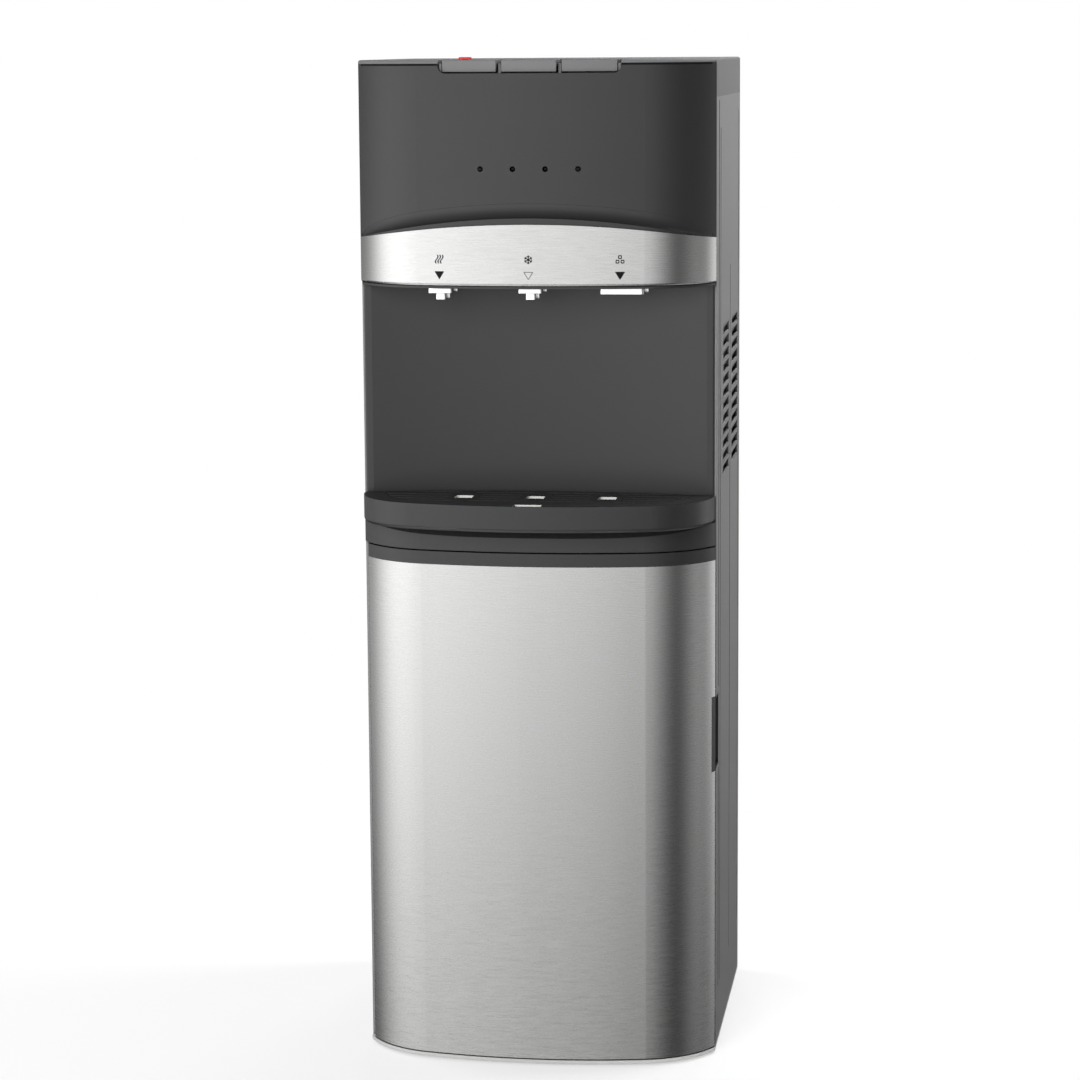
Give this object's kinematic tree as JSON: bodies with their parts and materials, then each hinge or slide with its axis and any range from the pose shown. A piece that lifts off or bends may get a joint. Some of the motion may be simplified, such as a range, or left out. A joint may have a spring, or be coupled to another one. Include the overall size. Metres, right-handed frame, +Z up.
{
  "type": "water dispenser",
  "caption": "Floor-standing bottom-loading dispenser for hot water, cold water and ice, with a steel door over the bottle bay, a drip tray and keys along the head.",
  "frame": {"origin": "middle of the footprint on the floor", "axes": "+Z up, -Y out of the front, +X to the right seen from the front"},
  "size_m": [0.38, 0.425, 1.0775],
  "materials": {
    "side_grey": "satin grey paint",
    "cover_grey": "satin grey plastic",
    "black_plastic": "satin black plastic",
    "key_grey": "satin dark grey plastic",
    "door_steel": "brushed stainless steel",
    "bright_metal": "bright plated",
    "red_plastic": "gloss red plastic",
    "base_grey": "light grey plastic",
    "clear_plastic": "clear light pipe",
    "rubber": "black rubber",
    "inner_plastic": "moulded grey plastic",
    "inner_steel": "galvanised sheet",
    "tank_steel": "drawn stainless steel",
    "foam": "white insulating foam",
    "machine_black": "black enamel",
    "fin_aluminium": "mill finish",
    "board_green": "green board",
    "white_plastic": "white plastic",
    "hose": "milky silicone hose",
    "pin_steel": "turned steel"
  },
  "bodies": {
    "cabinet": {"base": "base_grey", "feet": "rubber", "side_panel_left": "side_grey", "side_panel_right": "side_grey", "finger_cup": "black_plastic", "top_cover": "cover_grey", "head_panel": "black_plastic", "steel_band": "door_steel", "spout_plate": "black_plastic", "water_spouts": "bright_metal", "ice_outlet": "bright_metal", "alcove_panel": "black_plastic", "mid_trim": "black_plastic", "hinge_pins": "pin_steel", "head_bracket": "key_grey", "key_switches": "machine_black", "control_board": "board_green", "light_pipes": "clear_plastic", "mid_shelf": "inner_steel", "upper_shelf": "inner_plastic", "bay_partition": "inner_plastic", "back_panel": "side_grey", "drain_cap": "black_plastic", "cord_gland": "rubber", "switch_bezel": "black_plastic", "pump": "machine_black", "probe": "white_plastic", "suction_hose": "hose", "hot_tank": "tank_steel", "cold_tank": "tank_steel", "tank_insulation": "foam", "feed_tubes": "hose", "compressor_grommets": "rubber", "compressor": "machine_black", "condenser": "fin_aluminium", "fan_shroud": "machine_black", "fan_motor": "machine_black", "ice_bin": "white_plastic", "ice_chute": "white_plastic", "ice_frame": "inner_plastic", "ice_evaporator": "tank_steel", "ice_motors": "machine_black"},
    "door": {"door_skin": "door_steel", "door_liner": "inner_plastic", "door_top_cap": "black_plastic", "door_bottom_cap": "black_plastic", "door_grip": "black_plastic", "door_magnet": "machine_black"},
    "tray": {"drip_tray": "black_plastic"},
    "grid": {"drip_grid": "black_plastic"},
    "hot_key_body": {"hot_key": "key_grey"},
    "cold_key_body": {"cold_key": "key_grey"},
    "ice_key_body": {"ice_key": "key_grey"},
    "lock": {"child_lock": "red_plastic"},
    "fan": {"condenser_fan": "white_plastic"},
    "auger": {"ice_auger": "tank_steel"},
    "flap": {"chute_flap": "machine_black"},
    "mould": {"ice_tray": "white_plastic"},
    "cold_switch": {"cold_rocker": "white_plastic"},
    "hot_switch": {"hot_rocker": "red_plastic"}
  },
  "joints": [
    {"name": "door_hinge", "type": "hinge", "parent": "cabinet", "child": "door", "pos_m": [-0.17646, -0.1175, 0.285], "axis": [0, 0, -1], "range_deg": [0, 110]},
    {"name": "tray_slide", "type": "slide", "parent": "cabinet", "child": "tray", "axis": [0, -1, 0], "range_m": [0, 0.12]},
    {"name": "grid_lift", "type": "slide", "parent": "tray", "child": "grid", "axis": [0, 0, 1], "range_m": [0, 0.03]},
    {"name": "hot_key_press", "type": "hinge", "parent": "cabinet", "child": "hot_key_body", "pos_m": [-0.063, -0.1335, 1.0663], "axis": [1, 0, 0], "range_deg": [0, 4], "stiffness_Nm_per_rad": 0.5, "springref_deg": -2.86},
    {"name": "cold_key_press", "type": "hinge", "parent": "cabinet", "child": "cold_key_body", "pos_m": [0, -0.1335, 1.0663], "axis": [1, 0, 0], "range_deg": [0, 4], "stiffness_Nm_per_rad": 0.5, "springref_deg": -2.86},
    {"name": "ice_key_press", "type": "hinge", "parent": "cabinet", "child": "ice_key_body", "pos_m": [0.063, -0.1335, 1.0663], "axis": [1, 0, 0], "range_deg": [0, 4], "stiffness_Nm_per_rad": 0.5, "springref_deg": -2.86},
    {"name": "lock_slide", "type": "slide", "parent": "hot_key_body", "child": "lock", "axis": [0, 1, 0], "range_m": [0, 0.006]},
    {"name": "fan_spin", "type": "hinge", "parent": "cabinet", "child": "fan", "pos_m": [0.12, 0.083, 0.69515], "axis": [1, 0, 0], "continuous": true},
    {"name": "auger_spin", "type": "hinge", "parent": "cabinet", "child": "auger", "pos_m": [0.095, 0.02, 0.8798], "axis": [0, 1, 0], "continuous": true},
    {"name": "flap_drop", "type": "hinge", "parent": "cabinet", "child": "flap", "pos_m": [0.095, -0.133, 0.8578], "axis": [1, 0, 0], "range_deg": [0, 85], "stiffness_Nm_per_rad": 0.02, "springref_deg": -11.46},
    {"name": "mould_tilt", "type": "hinge", "parent": "cabinet", "child": "mould", "pos_m": [0.095, -0.0105, 0.9998], "axis": [-1, 0, 0], "range_deg": [0, 80]},
    {"name": "cold_switch_rock", "type": "hinge", "parent": "cabinet", "child": "cold_switch", "pos_m": [-0.123, 0.1965, 0.9848], "axis": [1, 0, 0], "range_deg": [-7, 7]},
    {"name": "hot_switch_rock", "type": "hinge", "parent": "cabinet", "child": "hot_switch", "pos_m": [-0.097, 0.1965, 0.9848], "axis": [1, 0, 0], "range_deg": [-7, 7]}
  ]
}
